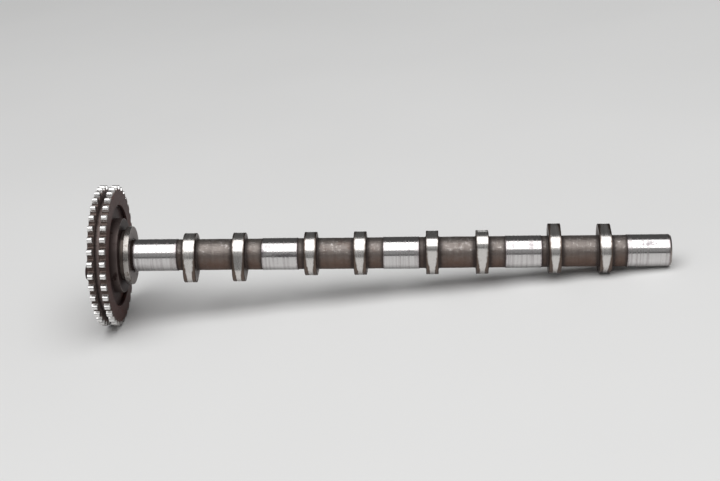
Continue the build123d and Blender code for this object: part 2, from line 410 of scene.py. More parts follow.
class CastGrain(Effect):
    """The lumps, sand grain and pits of a casting's skin."""

    title = "cast_grain"
    inputs = {"Position": VECTOR, "Size": VALUE}
    outputs = {"Height": VALUE, "Patches": VALUE, "Pits": VALUE}
    lump_scale, sand_scale, pit_scale, patch_scale = 0.35, 1.3, 0.8, 0.11
    lump_share, sand_share, pit_depth = 0.5, 0.5, 0.15
    pit_range = (0.05, 0.3)
    patch_range = (0.40, 0.64)

    def wire(self) -> dict[str, Socket]:
        """Adds three sizes of grain.

        Returns:
            What each output gets, by name.
        """
        place = self.add("ShaderNodeVectorMath", self.given["Position"], operation="SCALE",
                         named={"Scale": self.given["Size"]}).outputs["Vector"]
        lumps = self.noise(place, self.lump_scale, detail=2.0)
        sand = self.noise(place, self.sand_scale, detail=4.0, rough=0.65)
        named = {"Vector": place, "Scale": self.pit_scale}
        cells = self.add("ShaderNodeTexVoronoi", feature="F1", named=named)
        pits = self.span(cells.outputs["Distance"], *self.pit_range, 1.0, 0.0)
        height = self.scaled(lumps, self.lump_share, self.times(sand, self.sand_share))
        height = self.number("SUBTRACT", height, self.times(pits, self.pit_depth))
        patches = self.noise(place, self.patch_scale, detail=4.0, rough=0.6)
        return {"Height": height, "Patches": self.span(patches, *self.patch_range), "Pits": pits}


class OilStain(Effect):
    """Where oil has dried to a brown varnish, in soft blotches with thin edges."""

    title = "oil_stain"
    inputs = {"Position": VECTOR, "Size": VALUE, "Amount": VALUE}
    outputs = {"Mask": VALUE, "Specks": VALUE}
    bare_level, amount_share, edge_width = 0.72, 0.4, 0.16
    speck_scale = 1.1
    speck_range = (0.66, 0.74)

    def wire(self) -> dict[str, Socket]:
        """Cuts a slow noise at the amount that is asked for.

        Returns:
            What each output gets, by name.
        """
        cloud = self.noise(self.given["Position"], self.given["Size"], detail=5.0, rough=0.6)
        low = self.number("SUBTRACT", self.bare_level, self.times(self.given["Amount"], self.amount_share))
        mask = self.span(cloud, low, self.number("ADD", low, self.edge_width))
        specks = self.noise(self.given["Position"], self.speck_scale, detail=2.0, rough=0.5)
        return {"Mask": mask, "Specks": self.span(specks, *self.speck_range)}


class Smudge(Effect):
    """One dirty spot with a broken edge."""

    title = "smudge"
    inputs = {"Position": VECTOR, "Centre": VECTOR, "Size": VECTOR}
    outputs = {"Mask": VALUE}
    edge_scale = 0.55
    edge_wander = 2.6
    fade = (1.15, 0.25)

    def wire(self) -> dict[str, Socket]:
        """Measures the way from the centre in units of the spot's own size.

        Returns:
            What each output gets, by name.
        """
        away = self.vector("SUBTRACT", self.given["Position"], self.given["Centre"])
        length = self.vector("LENGTH", self.vector("DIVIDE", away, self.given["Size"]), result="Value")
        cloud = self.noise(self.given["Position"], self.edge_scale, detail=2.0, rough=0.5)
        wander = self.scaled(cloud, self.edge_wander, -0.5 * self.edge_wander)
        return {"Mask": self.span(self.number("ADD", length, wander), *self.fade)}


Shop = dict[type[Effect], Tree]


def shared_effects(frame: ShaftFrame) -> Shop:
    """Builds every shared node group once, and gives its tree by its class."""
    effects = (ShaftSpace(frame), TurningMarks(), CastGrain(), OilStain(), Smudge())
    return {type(effect): effect.tree for effect in effects}


class Surface(Wiring):
    """The tree of one material, with its shader and with the shared effects at hand."""

    def __init__(self, tree: Tree, shop: Shop) -> None:
        """Starts an empty tree with a shader.

        Args:
            tree: The material's tree.
            shop: The shared effects.
        """
        super().__init__(tree)
        self.shop = shop
        self.shader = self.add("ShaderNodeBsdfPrincipled")
        self.add("ShaderNodeOutputMaterial", self.shader.outputs[0])

    @cached_property
    def space(self) -> Any:
        """The shaft's space at the surface's points: Position and Radius."""
        return self.group(self.shop[ShaftSpace])

    @property
    def place(self) -> Socket:
        """The surface's points in the shaft's own frame."""
        return self.space["Position"]

    def effect(self, kind: type[Effect], **values: Any) -> Any:
        """The outputs of a shared effect at the surface's points."""
        return self.group(self.shop[kind], Position=self.place, **values)

    def wandering(self, value: Any, scale: float, size: float, detail: float = 3.0) -> Socket:
        """A value that a noise moves by its size in all, so that a line drawn by it is uneven."""
        wander = self.scaled(self.noise(self.place, scale, detail), size, -0.5 * size)
        return self.number("ADD", value, wander)

    def settle(self, **values: Any) -> None:
        """Feeds the shader's inputs by name, with _ for a space."""
        for name, value in values.items():
            self.feed(self.shader.inputs[name.replace("_", " ")], value)

    def bump(self, height: Socket, strength: float, depth: float) -> None:
        """Lets a height shape the shader's normal, with its full depth in metres."""
        named = {"Strength": strength, "Distance": depth, "Height": height}
        self.settle(Normal=self.add("ShaderNodeBump", named=named).outputs["Normal"])


# --- finishes


@dataclass(frozen=True)
class Finish:
    """A surface finish, with the colours and values of its own shader."""

    name: str

    def material(self, shop: Shop) -> Material:
        """Builds the material.

        Args:
            shop: The shared effects.

        Returns:
            The material.
        """
        material = bpy.data.materials.new(self.name)
        material.use_nodes = True
        material.node_tree.nodes.clear()
        self.lay(Surface(material.node_tree, shop))
        return material

    def lay(self, at: Surface) -> None:
        """Feeds the shader of the material's surface."""
        raise NotImplementedError


@dataclass(frozen=True)
class CastSkin(Finish):
    """Iron as cast: grey, with its rubbed grain kept to the top as a painted sheen, browner and darker low
    down as painted shade and floor reflection mixed with rust, and darker in the corners as grime with
    painted shade.

    A line is a pair of heights above the shaft's axis, in mm, between which something comes in.
    """

    iron: Colour = (0.205, 0.180, 0.166, 1.0)
    rust_and_low_shade: Colour = (0.112, 0.066, 0.048, 1.0)
    bright: Colour = (0.62, 0.59, 0.57, 1.0)
    deep_shade_and_dirt: Colour = (0.028, 0.019, 0.017, 1.0)
    rust_and_shade_line: Range = (9.0, -7.0)
    rust_and_shade_wander: float = 7.0
    stain_share: float = 0.45
    sheen_line: Range = (2.5, 8.0)
    sheen_low: float = 0.06
    rubbed_grain: Range = (0.52, 0.61)
    rubbed_patches: Range = (0.15, 0.60)
    grime_and_shade_range: Range = (0.08, 0.9)
    grime_and_shade_wander: float = 0.5
    grime_and_shade_most: float = 0.82
    pit_share: float = 0.5
    streak_share: float = 0.16
    metal: Range = (0.9, 0.55)
    roughness: float = 0.44
    rubbed_gain: float = -0.14
    dirty_gain: float = 0.12

    def lay(self, at: Surface) -> None:
        """Mixes iron, rust with a painted low shade, rubbed grain with a painted sheen on top, and grime with
        painted shade in the corners.

        Args:
            at: The material's surface.
        """
        height = at.parts(at.place)["Z"]
        grain = at.effect(CastGrain, Size=1.0)
        marks = at.effect(TurningMarks, Fineness=2.2)
        stain = at.effect(OilStain, Size=0.07, Amount=0.5)
        # Browner and darker towards the bottom of the shaft: painted shade and a painted reflection of the
        # floor, mixed with rust.
        low = at.span(at.wandering(height, scale=0.22, size=self.rust_and_shade_wander), *self.rust_and_shade_line)
        stain_and_low_shade = at.most(at.times(stain["Mask"], self.stain_share), low)
        rubbed = at.times(at.span(grain["Height"], *self.rubbed_grain),
                          at.span(grain["Patches"], 0.0, 1.0, *self.rubbed_patches))
        # The rubbed grain is kept to the upper side, where the lamp is reflected: a painted sheen over real
        # rubbing.
        rubbed = at.times(rubbed, at.span(height, *self.sheen_line, self.sheen_low, 1.0))
        # Grime and painted shade in the corners by the lobes, journals and collar, blended to the deep colour
        # together with dark pits and streaks.
        grime = at.wandering(at.attribute("grime"), scale=0.4, size=self.grime_and_shade_wander, detail=2.0)
        dark = at.most(at.times(grain["Pits"], self.pit_share), at.times(marks["Streaks"], self.streak_share))
        dark = at.most(at.span(grime, *self.grime_and_shade_range, 0.0, self.grime_and_shade_most), dark)
        colour = at.blend(rubbed, at.blend(stain_and_low_shade, self.iron, self.rust_and_low_shade), self.bright)
        rough = at.scaled(rubbed, self.rubbed_gain, self.roughness)
        at.settle(Base_Color=at.blend(dark, colour, self.deep_shade_and_dirt),
                  Metallic=at.span(at.most(dark, low), 0.0, 1.0, *self.metal),
                  Roughness=at.scaled(dark, self.dirty_gain, rough))
        at.bump(grain["Height"], strength=1.0, depth=0.0003)


@dataclass(frozen=True)
class Spot:
    """Where one dirty spot lies on the shaft. Sizes in mm."""

    x: float
    elevation_deg: float
    half_length: float
    half_height: float
    strength: float
    radius: float = 12.9

    @property
    def centre(self) -> tuple[float, float, float]:
        """Its middle: along, across and up."""
        lift = math.radians(self.elevation_deg)
        return self.x, -self.radius * math.cos(lift), self.radius * math.sin(lift)

    @property
    def size(self) -> tuple[float, float, float]:
        """Its reach along, across and up."""
        return self.half_length, self.half_height, self.half_height


@dataclass(frozen=True)
class GroundSteel(Finish):
    """A journal, ground and run in its bearing: mirror-like, with marks round it and smudges."""

    steel: Colour = (0.62, 0.605, 0.60, 1.0)
    tarnish: Colour = (0.25, 0.205, 0.215, 1.0)
    dirt: Colour = (0.10, 0.080, 0.095, 1.0)
    roughness: float = 0.14
    streak_gain: float = 0.08
    dull_gain: float = 0.14
    stained: float = 0.25
    stain_share: float = 0.5
    streak_share: float = 0.40
    speck_share: float = 0.6
    end_range: Range = (0.90, 1.0)
    end_wander: float = 0.16
    end_share: float = 0.8
    spots: tuple[Spot, ...] = ()

    def lay(self, at: Surface) -> None:
        """Polished steel with streaks, ragged ends, stains and smudges.

        Args:
            at: The material's surface.
        """
        marks = at.effect(TurningMarks, Fineness=4.0)
        stain = at.effect(OilStain, Size=0.10, Amount=self.stained)
        reach = at.wandering(at.attribute("reach"), scale=0.7, size=self.end_wander)
        dull = at.most(at.times(stain["Mask"], self.stain_share),
                       at.times(marks["Streaks"], self.streak_share),
                       at.span(reach, *self.end_range, 0.0, self.end_share))
        smudge = at.times(stain["Specks"], self.speck_share)
        for spot in self.spots:
            mask = at.effect(Smudge, Centre=spot.centre, Size=spot.size)["Mask"]
            smudge = at.most(smudge, at.times(mask, spot.strength))
        colour = at.blend(dull, self.steel, self.tarnish)
        rough = at.scaled(marks["Streaks"], self.streak_gain, self.roughness)
        at.settle(Base_Color=at.blend(smudge, colour, self.dirt), Metallic=1.0,
                  Roughness=at.scaled(at.most(dull, smudge), self.dull_gain, rough))
        at.bump(marks["Height"], strength=0.35, depth=0.00003)


@dataclass(frozen=True)
class LobeTrack(Finish):
    """The running face of a lobe: bright where the follower rubs, varnished brown beside it, with painted
    shade on its rounded edges and its bright track drawn widest towards the lamp as a painted highlight.
    """

    steel: Colour = (0.64, 0.62, 0.60, 1.0)
    varnish: Colour = (0.130, 0.098, 0.082, 1.0)
    edge: Colour = (0.045, 0.033, 0.028, 1.0)
    side_range: Range = (0.80, 1.30)
    side_wander: float = 0.6
    speck_share: float = 0.5
    stain_share: float = 0.35
    edge_shade_range: Range = (0.2, 0.9)
    edge_shade_share: float = 0.9
    roughness: float = 0.22
    streak_gain: float = 0.07
    side_gain: float = 0.12
    edge_gain: float = 0.15

    def lay(self, at: Surface) -> None:
        """Lets the reach from the track's middle choose the metal.

        Args:
            at: The material's surface.
        """
        marks = at.effect(TurningMarks, Fineness=3.0)
        stain = at.effect(OilStain, Size=0.16, Amount=0.3)
        reach = at.wandering(at.attribute("reach"), scale=0.35, size=self.side_wander)
        side = at.span(reach, *self.side_range)
        side = at.most(side, at.times(stain["Specks"], self.speck_share),
                       at.times(stain["Mask"], self.stain_share))
        # The dark edge colour on the rounded edges is painted shade.
        edge = at.span(at.attribute("wear"), *self.edge_shade_range, 0.0, self.edge_shade_share)
        colour = at.blend(side, self.steel, self.varnish)
        rough = at.scaled(marks["Streaks"], self.streak_gain, self.roughness)
        rough = at.scaled(edge, self.edge_gain, at.scaled(side, self.side_gain, rough))
        at.settle(Base_Color=at.blend(edge, colour, self.edge), Metallic=1.0, Roughness=rough)
        at.bump(marks["Height"], strength=0.35, depth=0.00003)


@dataclass(frozen=True)
class TurnedSteel(Finish):
    """A turned face that nothing runs on: rings from the tool under patches of oil."""

    steel: Colour = (0.45, 0.43, 0.41, 1.0)
    oil: Colour = (0.16, 0.12, 0.10, 1.0)
    roughness: float = 0.24
    oily_gain: float = 0.12
    oiled: float = 0.5
    oil_share: float = 0.8
    rings_per_mm: float = 2.4
    ring_share: float = 0.35
    metal: float = 1.0
    gloss: float = 0.5

    def lay(self, at: Surface) -> None:
        """Turned steel, oiled in patches, with grime and painted shade in the corners.

        Args:
            at: The material's surface.
        """
        rings = at.noise(at.joined(at.times(at.space["Radius"], self.rings_per_mm)), scale=1.0, detail=3.0)
        stain = at.effect(OilStain, Size=0.12, Amount=self.oiled)
        # The oil colour also comes in with grime and painted shade in the corners.
        dull = at.times(at.most(stain["Mask"], at.attribute("grime")), self.oil_share)
        dull = at.number("MULTIPLY_ADD", rings, self.ring_share, dull, clamp=True)
        at.settle(Base_Color=at.blend(dull, self.steel, self.oil),
                  Metallic=at.span(dull, 0.0, 1.0, self.metal, 0.8 * self.metal),
                  Roughness=at.span(dull, 0.0, 1.0, self.roughness, self.roughness + self.oily_gain),
                  Specular_IOR_Level=self.gloss)
        at.bump(rings, strength=0.3, depth=0.00006)


@dataclass(frozen=True)
class OiledSteel(Finish):
    """Dark steel under old oil."""

    dark: Colour = (0.034, 0.018, 0.017, 1.0)
    brown: Colour = (0.060, 0.024, 0.020, 1.0)
    bare: Colour = (0.5, 0.48, 0.46, 1.0)
    dirt: Colour = (0.012, 0.008, 0.008, 1.0)
    rubbed_range: Range = (0.50, 0.68)
    rubbed_share: float = 0.12
    grime_and_shade_share: float = 0.7
    roughness: float = 0.45
    brown_gain: float = 0.10
    shine: float = 0.25
    brown_shine_loss: float = 0.2
    gloss: float = 0.12

    def lay(self, at: Surface) -> None:
        """Two browns in soft patches, with a fine grain, and grime with painted shade in the corners.

        Args:
            at: The material's surface.
        """
        grain = at.effect(CastGrain, Size=1.6)
        stain = at.effect(OilStain, Size=0.06, Amount=0.5)["Mask"]
        rubbed = at.times(at.span(grain["Height"], *self.rubbed_range), self.rubbed_share)
        colour = at.blend(rubbed, at.blend(stain, self.dark, self.brown), self.bare)
        # The dirt colour comes in with grime and painted shade in the corners and recesses.
        dirt = at.times(at.attribute("grime"), self.grime_and_shade_share)
        at.settle(Base_Color=at.blend(dirt, colour, self.dirt),
                  Metallic=at.span(stain, 0.0, 1.0, self.shine, self.shine - self.brown_shine_loss),
                  Roughness=at.span(stain, 0.0, 1.0, self.roughness, self.roughness + self.brown_gain),
                  Specular_IOR_Level=self.gloss)
        at.bump(grain["Height"], strength=0.25, depth=0.0001)


@dataclass(frozen=True)
class ToothSteel(Finish):
    """Teeth that the chain has rubbed: bright at the tip, darker down to the bush seat with oil and painted
    shade in the gaps, and the lowest teeth darker still with painted shade and some oil.
    """

    bare: Colour = (0.78, 0.77, 0.76, 1.0)
    seat: Colour = (0.080, 0.056, 0.048, 1.0)
    worn_and_shade_radius: Range = (53.1, 54.1)
    radius_wander: float = 0.8
    worn_range: Range = (0.0, 0.8)
    oil_and_shade_height: Range = (-54.0, -40.0)
    oil_and_shade_share: float = 0.35
    metal: Range = (0.6, 1.0)
    roughness: Range = (0.38, 0.33)

    def lay(self, at: Surface) -> None:
        """Blends from seat to tip by the distance from the axis.

        Args:
            at: The material's surface.
        """
        radius = at.wandering(at.space["Radius"], scale=0.7, size=self.radius_wander)
        # Darker towards each gap's seat: oil together with painted shade in the gap.
        high = at.span(radius, *self.worn_and_shade_radius)
        worn = at.times(high, at.span(at.attribute("wear"), *self.worn_range))
        # The lowest teeth are made less bright: a painted shade, with some oil.
        worn = at.times(worn, at.span(at.parts(at.place)["Z"], *self.oil_and_shade_height, self.oil_and_shade_share, 1.0))
        at.settle(Base_Color=at.blend(worn, self.seat, self.bare),
                  Metallic=at.span(worn, 0.0, 1.0, *self.metal),
                  Roughness=at.span(worn, 0.0, 1.0, *self.roughness))


@dataclass(frozen=True)
class StudioPaint(Finish):
    """The plain matt surface of the floor."""

    colour: Colour = (0.80, 0.80, 0.795, 1.0)
    roughness: Range = (0.62, 0.72)

    def lay(self, at: Surface) -> None:
        """One colour, with a faint unevenness in its gloss."""
        cloud = at.noise(at.add("ShaderNodeTexCoord").outputs["Object"], scale=3.0, detail=2.0)
        at.settle(Base_Color=self.colour, Roughness=at.span(cloud, 0.3, 0.7, *self.roughness))


# --- the casting


class ShaftZone(Enum):
    """The surfaces of the casting, each with its own finish."""

    CAST = 0
    JOURNAL = 1
    TRACK = 2
    TURNED = 3
    FLANK = 4


@dataclass
class CastShaft:
    """The camshaft casting: spigot, flange, collar, journals and phased lobes. Sizes in mm."""

    frame: ShaftFrame
    cylinder_pitch: float = 97.0
    first_cylinder_x: float = 66.8
    valve_spacing: float = 39.6
    firing_order: tuple[int, ...] = (1, 3, 4, 2)
    first_nose_deg: float = 230.5
    valve_phase_deg: float = 7.5
    shaft_radius: float = 12.5
    lobe_width: float = 9.9
    lobe_base_radius: float = 17.45
    lobe_nose_radius: float = 11.1
    lobe_nose_offset: float = 11.65
    lobe_edge_break: float = 0.4
    lobe_root_radius: float = 1.2
    track_shares: tuple[float, ...] = (0.84, 0.76, 0.70, 0.74, 0.80, 0.80, 0.70, 0.74)
    # The bright track is drawn widest on the side towards the lamp and narrows underneath, the same on every
    # lobe: a painted highlight.
    track_lit_side_deg: float = 130.0
    track_taper: float = 1.25
    track_least: float = 0.45
    journal_radius: float = 12.9
    journal_width: float = 29.0
    journal_offset: float = 4.0
    front_journal: Range = (1.7, 36.7)
    rear_journal: Range = (394.5, 429.49)
    rear_chamfer: Range = (1.5, 1.0)
    collar_radius: float = 23.5
    collar_front_x: float = -4.5
    collar_edge_break: float = 0.4
    undercut: tuple[float, float, float] = (1.7, 1.2, 0.5)
    flange_radius: float = 20.0
    flange_front_x: float = -15.5
    flange_edge_break: float = 0.6
    spigot_radius: float = 8.0
    spigot_front_x: float = -22.2
    centre_cone_radius: float = 3.75
    centre_half_angle_deg: float = 30.0
    centre_drill_radius: float = 1.25
    centre_drill_depth: float = 8.0
    directions: int = 180
    skin_step: float = 1.2
    skin_relief: float = 0.10
    slow_waves_per_mm: float = 0.12
    fine_waves_per_mm: float = 0.55
    grime_and_shade_reach: float = 2.3

    def __post_init__(self) -> None:
        """Starts the skin."""
        self.angles = np.linspace(0.0, FULL_TURN, self.directions, endpoint=False)
        self.loft = Loft(self.angles)

    def lobe_places(self) -> list[Range]:
        """Places the lobes.

        Returns:
            The place and the nose angle in degrees of every lobe, from the front to the rear.
        """
        places = []
        for cylinder in range(1, len(self.firing_order) + 1):
            x = self.first_cylinder_x + (cylinder - 1) * self.cylinder_pitch
            angle = self.first_nose_deg - 360.0 / len(self.firing_order) * self.firing_order.index(cylinder)
            places.append((x - self.valve_spacing / 2, angle))
            places.append((x + self.valve_spacing / 2, angle - self.valve_phase_deg))
        return places

    def journal_spans(self) -> list[Range]:
        """Places the journals.

        Returns:
            The start and end of every journal, from the front to the rear.
        """
        spans = [self.front_journal]
        for gap in range(len(self.firing_order) - 1):
            centre = self.first_cylinder_x + (gap + 0.5) * self.cylinder_pitch + self.journal_offset
            spans.append((centre - self.journal_width / 2, centre + self.journal_width / 2))
        return spans + [self.rear_journal]

    def lobe_radii(self, nose_deg: float, inset: float) -> np.ndarray:
        """The lobe's outline in every direction.

        Args:
            nose_deg: The direction of its nose, in degrees.
            inset: How far the outline is moved inwards, square to itself.

        Returns:
            One radius for each direction.
        """
        base, nose = self.lobe_base_radius - inset, self.lobe_nose_radius - inset
        offset = self.lobe_nose_offset
        flank = math.acos((base - nose) / offset)
        tangent = math.atan2(nose * math.sin(flank), offset + nose * math.cos(flank))
        turn = np.abs((self.angles - math.radians(nose_deg) + math.pi) % FULL_TURN - math.pi)
        radii = np.full(self.directions, base)
        straight = (turn < flank) & (turn >= tangent)
        radii[straight] = base / np.cos(flank - turn[straight])
        tip = turn < tangent
        radii[tip] = offset * np.cos(turn[tip]) + np.sqrt(nose**2 - (offset * np.sin(turn[tip])) ** 2)
        return radii

    def rough(self, x: float, radius: float) -> np.ndarray:
        """A ring of the cast skin, with the unevenness of the mould.

        Args:
            x: Place along the shaft.
            radius: The nominal radius.

        Returns:
            One radius for each direction.
        """
        radii = np.empty(self.directions)
        for i, angle in enumerate(self.angles):
            point = Vector((x, radius * math.cos(angle), radius * math.sin(angle)))
            slow = noise.noise(point * self.slow_waves_per_mm)
            fine = noise.fractal(point * self.fine_waves_per_mm, 0.8, 2.1, 3)
            radii[i] = radius + self.skin_relief * (0.9 * slow + 0.8 * fine)
        return radii

    def add_centre(self, face_x: float, inward: int) -> None:
        """The lathe centre in one end face: a drilled hole that opens in a cone.

        Args:
            face_x: The end face.
            inward: 1 at the front end, where the rings run out of the hole, otherwise -1.
        """
        cone, drill, depth = self.centre_cone_radius, self.centre_drill_radius, self.centre_drill_depth
        cone_depth = (cone - drill) / math.tan(math.radians(self.centre_half_angle_deg))
        steps = [(0.0, cone), (cone_depth, drill), (depth, drill), (depth + drill, 0.02)]
        # The last number of each ring darkens the centre hole: grime and painted shade.
        rings = [(face_x + inward * inset, radius, 0.6) for inset, radius in steps]
        self.loft.run(ShaftZone.TURNED, *(reversed(rings) if inward > 0 else rings))

    def add_front(self) -> None:
        """Centre hole, spigot, flange, collar and the undercut behind it."""
        front, seat, collar_x = self.spigot_front_x, self.flange_front_x, self.collar_front_x
        turned, worn = ShaftZone.TURNED, ShaftZone.FLANK
        self.add_centre(front, 1)
        # The last number darkens the foot of each step: grime and painted shade in the corner.
        for x, radius, end, grime in ((front, self.spigot_radius, seat, 0.8),
                                      (seat, self.flange_radius, collar_x, 1.0)):
            edge = [(x + behind, radius - below, 0.0) for behind, below in eased(self.flange_edge_break, 4)]
            self.loft.run(turned, *edge, (end, radius, grime))
        collar_edge = self.collar_radius - self.collar_edge_break
        self.add_side(collar_x, self.flange_radius, collar_edge, turned, True)
        self.add_land(collar_x, 0.0, self.collar_radius, self.collar_edge_break, turned)
        width, height, depth = self.undercut
        lip, bottom = self.journal_radius + height, self.journal_radius - depth
        # The undercut is darkened all through: grime and painted shade in the groove.
        self.add_side(0.0, lip, collar_edge, worn, False, 0.5)
        self.loft.run(worn, (-depth, lip - depth, 1.0), (-depth, bottom, 1.0), (width - depth, bottom, 1.0),
                      (width, self.journal_radius, 1.0))

    def add_side(self, x: float, foot: float, edge: Any, zone: ShaftZone, rising: bool,
                 grime: float = 0.0) -> None:
        """A flat side face, with a ring close to its rounded edge that keeps it flat to the eye.

        Args:
            x: Where the face is.
            foot: Its inner radius.
            edge: Its outer radius, or radii.
            zone: Its zone.
            rising: True if the rings run outwards.
            grime: How much grime and painted shade the foot gets.
        """
        # Grime and painted shade fade out from the face's foot.
        steps = [(0.0, grime), (0.35, grime * 0.5), (0.7, 0.0)]
        rings = [(x, foot + (edge - foot) * share, dirt) for share, dirt in steps] + [(x, edge - 0.07, 0.0)]
        self.loft.run(zone, *(rings if rising else reversed(rings)))

    def add_land(self, start: float, end: float, radius: Any, ease: float, zone: ShaftZone,
                 share: Any = 1.0) -> None:
        """A land with both edges rounded, from one side face to the other.

        Args:
            start: Where the land begins.
            end: Where it ends.
            radius: Its radius, or a function that gives the radii at an inset.
            ease: The radius of its edges.
            zone: Its zone.
            share: How much of its width the bright track takes, as a number or one for each direction.
        """
        width = end - start
        # The third value of each point darkens a lobe's rounded edges: a painted shade.
        left = [(behind, below, 1.0 if below > 0.0 else 0.5) for behind, below in eased(ease, 4)]
        left += [(ease + 0.08, 0.0, 0.1)] + [(width * part, 0.0, 0.0) for part in (0.18, 0.34, 0.5)]
        right = [(width - x, below, wear) for x, below, wear in reversed(left[:-1])]
        for x, below, wear in left + right:
            radii = radius(below) if callable(radius) else radius - below
            self.loft.ring(start + x, radii, zone, wear=wear, reach=abs(2.0 * x / width - 1.0) / share)

    def add_skin(self, start: float, end: float) -> None:
        """Rough skin of the plain shaft, with grime and painted shade growing close to both ends.

        Args:
            start: Where it begins.
            end: Where it ends.
        """
        count = max(2, round((end - start) / self.skin_step))
        for step in range(1, count):
            x = start + (end - start) * step / count
            # Grime and painted shade grow towards the lobe or journal at each end.
            grime = math.exp(-min(x - start, end - x) / self.grime_and_shade_reach)
            self.loft.ring(x, self.rough(x, self.shaft_radius), ShaftZone.CAST, grime=grime)

    def add_root(self, face_x: float, outward: bool) -> None:
        """The fillet between the shaft and one side face of a lobe.

        Args:
            face_x: The side face.
            outward: True if the shaft comes before the lobe.
        """
        steps = eased(self.lobe_root_radius, 3)
        # The fillet is darkened fully: grime and painted shade in the corner.
        for rise, gap in steps if outward else reversed(steps):
            x = face_x - gap if outward else face_x + gap
            self.loft.ring(x, self.rough(x, self.shaft_radius + rise), ShaftZone.CAST, grime=1.0)

    def add_lobe(self, x: float, nose_deg: float, share: float) -> None:
        """One lobe between two root fillets.

        Args:
            x: Its middle.
            nose_deg: The direction of its nose, in degrees.
            share: How much of its width the bright track takes where the track is widest.
        """
        start, end = x - self.lobe_width / 2, x + self.lobe_width / 2
        foot = self.shaft_radius + self.lobe_root_radius + 0.15
        edge = self.lobe_radii(nose_deg, self.lobe_edge_break)
        # Narrower away from the lit side: a painted highlight.
        turn_from_lit_side = 0.5 * (1.0 - np.cos(self.angles - math.radians(self.track_lit_side_deg)))
        shares = share * np.maximum(self.track_least, 1.0 - self.track_taper * turn_from_lit_side)
        self.add_root(start, True)
        self.add_side(start, foot, edge, ShaftZone.FLANK, True, 0.9)
        self.add_land(start, end, lambda inset: self.lobe_radii(nose_deg, inset), self.lobe_edge_break,
                      ShaftZone.TRACK, shares)
        self.add_side(end, foot, edge, ShaftZone.FLANK, False, 0.9)
        self.add_root(end, False)

    def add_journal(self, start: float, end: float) -> None:
        """One ground journal, with its step down to the rough shaft where it has one.

        Args:
            start: Where it begins.
            end: Where it ends.
        """
        step, radius = self.journal_radius - self.shaft_radius, self.journal_radius
        front, rear = start == self.front_journal[0], end == self.rear_journal[1]
        low = start if front else start + step
        high = end - (self.rear_chamfer[0] if rear else step)
        # The step up to the journal and the journal's end are darkened: grime and painted shade in the
        # corner.
        if not front:
            self.loft.run(ShaftZone.CAST, (start, self.shaft_radius, 0.9), (low, radius, 0.7))
        for share in (0.004, 0.25, 0.5, 0.75, 0.996):
            x = low + (high - low) * share
            self.loft.ring(x, radius, ShaftZone.JOURNAL, reach=abs(2.0 * share - 1.0))
        self.loft.ring(high, radius, ShaftZone.JOURNAL, grime=0.7, reach=1.0)
        if rear:
            self.loft.run(ShaftZone.TURNED, (end, radius - self.rear_chamfer[1], 0.0))
        else:
            self.loft.run(ShaftZone.CAST, (end, self.shaft_radius, 0.9))

    def finishes(self, shop: Shop) -> list[Material]:
        """Builds the finish of every zone.

        Args:
            shop: The shared effects.

        Returns:
            The materials, in the order of the zones.
        """
        spots = (
            Spot(411.4, 47.0, 8.0, 2.8, 0.62),
            Spot(304.8, 43.0, 2.0, 2.2, 0.40),
            Spot(319.3, 44.0, 3.8, 2.6, 0.42),
            Spot(109.6, 49.0, 4.6, 2.4, 0.38),
            Spot(106.0, 30.0, 3.0, 4.0, 0.60),
            Spot(124.0, 17.0, 11.0, 2.0, 0.60),
            Spot(222.5, 29.0, 2.0, 1.2, 0.60),
        )
        finishes = {
            ShaftZone.CAST: CastSkin("cast_skin"),
            ShaftZone.JOURNAL: GroundSteel("ground_journal", spots=spots),
            ShaftZone.TRACK: LobeTrack("lobe_track"),
            ShaftZone.TURNED: TurnedSteel("turned_steel"),
            ShaftZone.FLANK: TurnedSteel(
                "lobe_side", steel=(0.110, 0.080, 0.070, 1.0), oil=(0.040, 0.026, 0.022, 1.0),
                roughness=0.38, metal=0.8, gloss=0.3),
        }
        return [finishes[zone].material(shop) for zone in ShaftZone]

    def build(self, shop: Shop) -> None:
        """Lofts the whole casting.

        Args:
            shop: The shared effects.
        """
        self.add_front()
        half = self.lobe_width / 2 + self.lobe_root_radius
        features = [(start, end, None, 1.0) for start, end in self.journal_spans()]
        for (x, angle), share in zip(self.lobe_places(), self.track_shares):
            features.append((x - half, x + half, angle, share))
        features.sort(key=lambda feature: feature[0])
        last_end = features[0][0]
        for start, end, angle, share in features:
            if start > last_end:
                self.add_skin(last_end, start)
            if angle is None:
                self.add_journal(start, end)
            else:
                self.add_lobe((start + end) / 2, angle, share)
            last_end = end
        self.add_centre(self.rear_journal[1], -1)
        mesh = self.loft.mesh("camshaft_casting", self.frame, True)
        place_piece(mesh, self.finishes(shop), "camshaft")


# --- the sprocket


class WheelZone(Enum):
    """The surfaces of the sprocket, each with its own finish."""

    FACE = 0
    TEETH = 1
    GROOVE = 2
    HUB = 3


